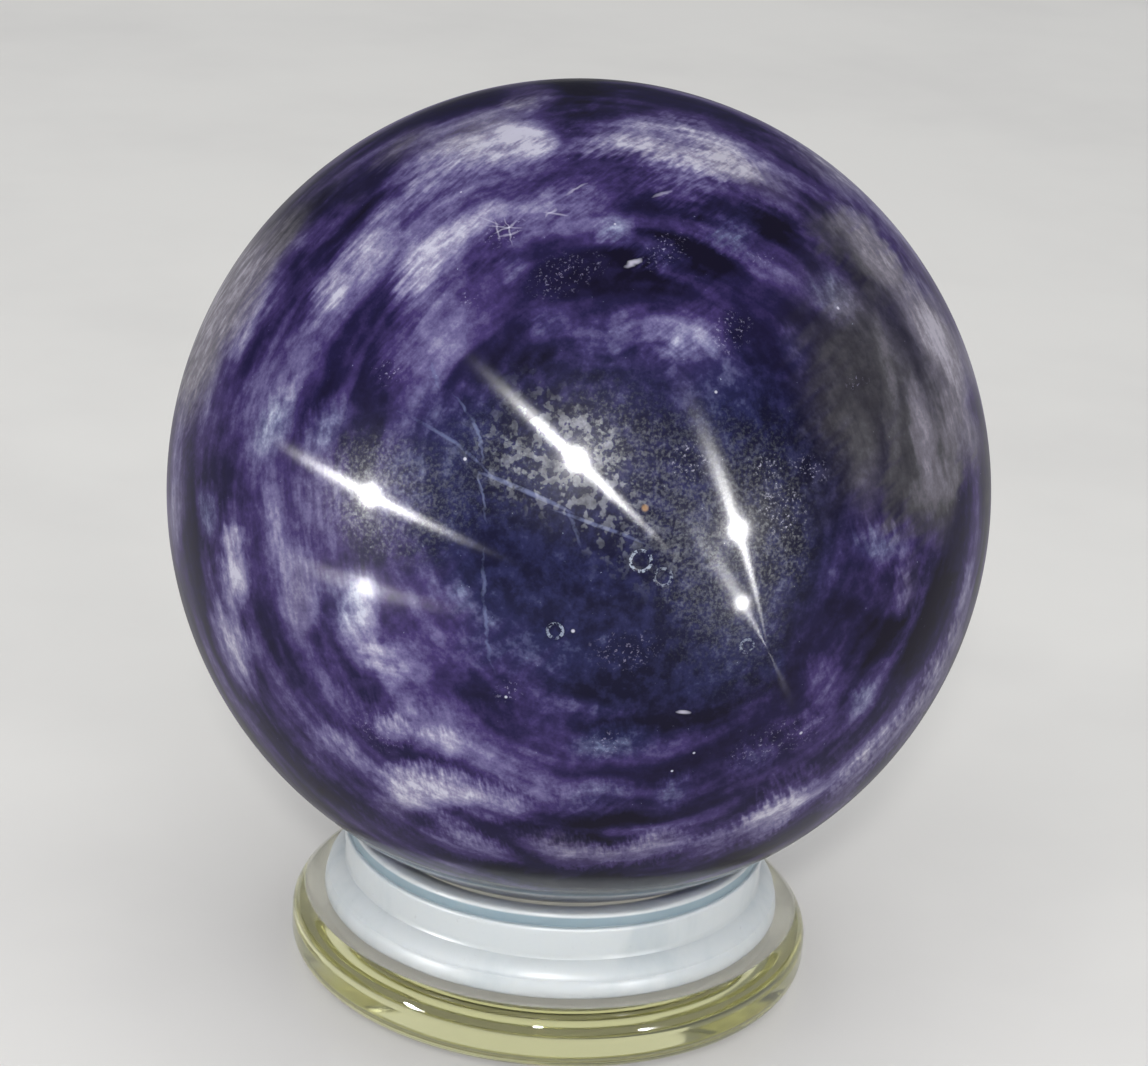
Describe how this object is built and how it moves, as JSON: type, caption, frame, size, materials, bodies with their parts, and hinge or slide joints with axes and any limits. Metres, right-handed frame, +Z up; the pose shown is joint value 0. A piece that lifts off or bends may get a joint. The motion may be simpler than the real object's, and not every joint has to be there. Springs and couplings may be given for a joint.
{
  "type": "polished fluorite sphere on a stand",
  "caption": "Polished purple and white fluorite ball resting in a flared white plastic ring on a thick round clear glass disc.",
  "frame": {"origin": "centre of the flat underside of the glass disc", "axes": "+Z up, along the common axis of the glass disc, the ring and the ball; the polishing marks on the ball run round the -Y direction, and the clearest side of its pattern faces 26 degrees from -Y towards -X"},
  "size_m": [0.08, 0.08, 0.09],
  "materials": {
    "polished_fluorite": "high polish with worn, streaky gloss",
    "white_plastic": "satin, slightly translucent",
    "green_glass": "clear, pale yellow-green"
  },
  "bodies": {
    "root": {"sphere": "polished_fluorite", "plastic_ring": "white_plastic", "glass_disc": "green_glass"}
  },
  "joints": []
}
